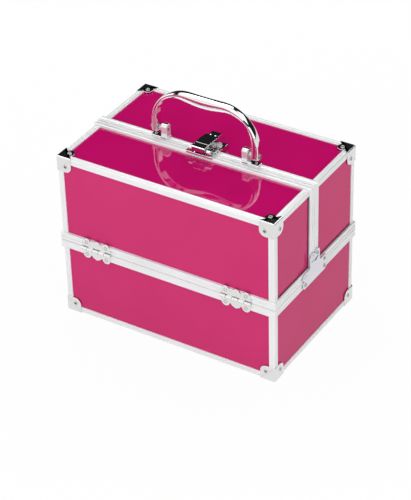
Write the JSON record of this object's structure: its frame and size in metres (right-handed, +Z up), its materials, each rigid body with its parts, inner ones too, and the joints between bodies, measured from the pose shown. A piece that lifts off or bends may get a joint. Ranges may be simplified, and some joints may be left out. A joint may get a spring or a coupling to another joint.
{
  "type": "makeup train case",
  "caption": "Boxy vanity case with aluminium trim, a front lid that swings down, two cantilever trays, folding top handle and locking hasp",
  "frame": {"origin": "centre of the whole outline seen from above, on the surface that the case stands on", "axes": "+X to the right seen from the front, +Y to the rear, +Z up; the front lid and its hinges are at -Y"},
  "size_m": [0.3122, 0.2056, 0.3045],
  "materials": {
    "pink_panel": "gloss laminate on board",
    "board_black": "black laminate on board",
    "aluminium": "satin anodised extrusion",
    "chrome": "bright nickel-chrome plate",
    "rivets": "nickel-plated tubular rivets",
    "steel": "zinc-plated steel",
    "seal": "black sealing bead",
    "lining": "black foam-backed vinyl lining",
    "tray_plastic": "black moulded plastic",
    "felt": "flocked felt"
  },
  "bodies": {
    "case": {"tub_floor": "board_black", "tub_front": "pink_panel", "tub_rear": "pink_panel", "tub_left": "pink_panel", "tub_right": "pink_panel", "tub_trim": "aluminium", "tub_rim": "aluminium", "tub_lining": "lining", "tub_corners": "chrome", "tub_rivets": "rivets", "hood_top": "pink_panel", "hood_rear": "pink_panel", "hood_left": "pink_panel", "hood_right": "pink_panel", "hood_trim": "aluminium", "hood_rim": "aluminium", "hood_bead": "seal", "hood_lining": "lining", "hood_corners": "chrome", "hood_rivets": "rivets", "junction_plates": "chrome", "splice_plates": "aluminium", "handle_posts": "chrome", "handle_pins": "steel", "post_screws": "steel", "lock_body": "chrome", "hinge_lower": "chrome", "hinge_pins": "steel", "tub_studs": "steel"},
    "lid": {"lid_top": "pink_panel", "lid_front": "pink_panel", "lid_left": "pink_panel", "lid_right": "pink_panel", "lid_trim": "aluminium", "lid_rim": "aluminium", "lid_bead": "seal", "lid_lining": "lining", "lid_corners": "chrome", "lid_rivets": "rivets", "hinge_upper": "chrome", "latch_plate": "chrome", "latch_pin": "steel", "lid_studs": "steel"},
    "arms": {"arms": "steel", "arm_pins": "steel"},
    "lower_tray": {"tray_lower": "tray_plastic", "tray_lower_mats": "felt"},
    "upper_tray": {"tray_upper": "tray_plastic", "tray_upper_mats": "felt"},
    "hasp": {"hasp": "chrome"},
    "lock_plug": {"lock_plug": "steel"},
    "handle": {"handle": "chrome"}
  },
  "joints": [
    {"name": "lid_hinge", "type": "hinge", "parent": "case", "child": "lid", "pos_m": [0, -0.10065, 0.1084], "axis": [1, 0, 0], "range_deg": [0, 95]},
    {"name": "arm_pivot", "type": "hinge", "parent": "case", "child": "arms", "pos_m": [0, -0.07465, 0.1034], "axis": [1, 0, 0], "range_deg": [0, 95]},
    {"name": "lower_tray_pivot", "type": "hinge", "parent": "lid", "child": "lower_tray", "pos_m": [0, -0.06625, 0.13249], "axis": [1, 0, 0], "range_deg": [-95, 0]},
    {"name": "upper_tray_pivot", "type": "hinge", "parent": "lid", "child": "upper_tray", "pos_m": [0, -0.02119, 0.16404], "axis": [1, 0, 0], "range_deg": [-95, 0]},
    {"name": "hasp_pivot", "type": "hinge", "parent": "lid", "child": "hasp", "pos_m": [0, -0.01215, 0.2393], "axis": [1, 0, 0], "range_deg": [0, 95]},
    {"name": "key_turn", "type": "hinge", "parent": "case", "child": "lock_plug", "pos_m": [0.0128, 0.0126, 0.232], "axis": [0, 0, 1], "range_deg": [0, 90]},
    {"name": "handle_fold", "type": "hinge", "parent": "case", "child": "handle", "pos_m": [0, 0.00195, 0.2445], "axis": [1, 0, 0], "range_deg": [-90, 90]}
  ],
  "couplings": [
    {"joint": "arm_pivot", "follows": "lid_hinge", "ratio": 1},
    {"joint": "lower_tray_pivot", "follows": "lid_hinge", "ratio": -1},
    {"joint": "upper_tray_pivot", "follows": "lid_hinge", "ratio": -1}
  ]
}
